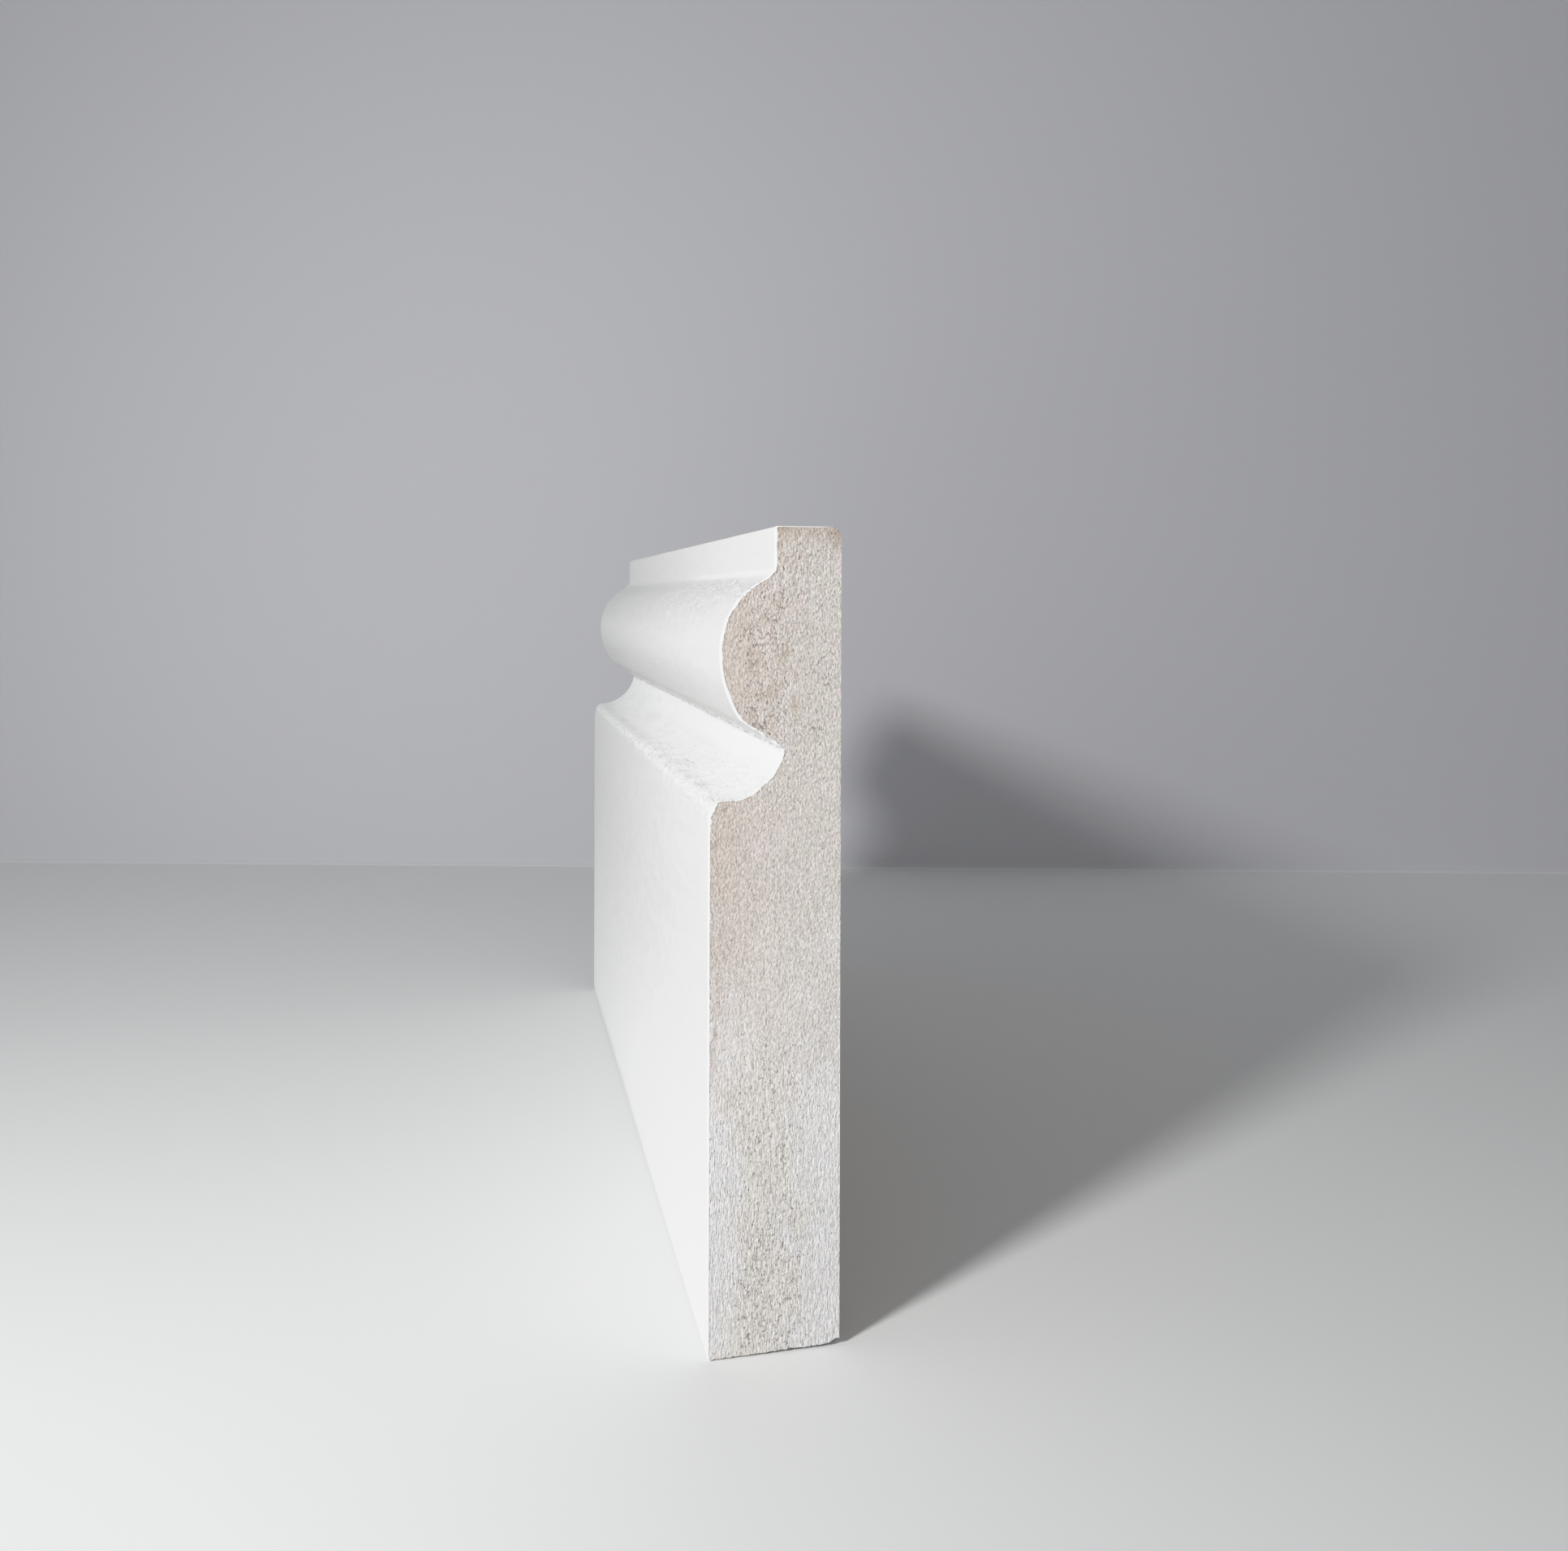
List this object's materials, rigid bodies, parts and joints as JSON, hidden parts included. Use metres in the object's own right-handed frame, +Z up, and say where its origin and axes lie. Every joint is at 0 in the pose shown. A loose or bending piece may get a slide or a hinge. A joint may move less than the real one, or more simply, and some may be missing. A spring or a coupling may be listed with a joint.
{
  "type": "torus skirting board",
  "caption": "Short length of moulded skirting board with a torus, quirk and cove along the top of its front face, a flat back and square sawn ends.",
  "frame": {"origin": "middle of the foot: halfway along the board and halfway through its thickness, on the plane it stands on", "axes": "+X along the board's length, +Y out of the flat back towards the wall, +Z up from the foot to the top edge"},
  "size_m": [0.15, 0.0156, 0.095],
  "materials": {
    "white_primer": "factory-primed satin white over fine-fibred board, with bare light brown board on the sawn ends, back and foot"
  },
  "bodies": {
    "root": {"skirting_board": "white_primer"}
  },
  "joints": []
}
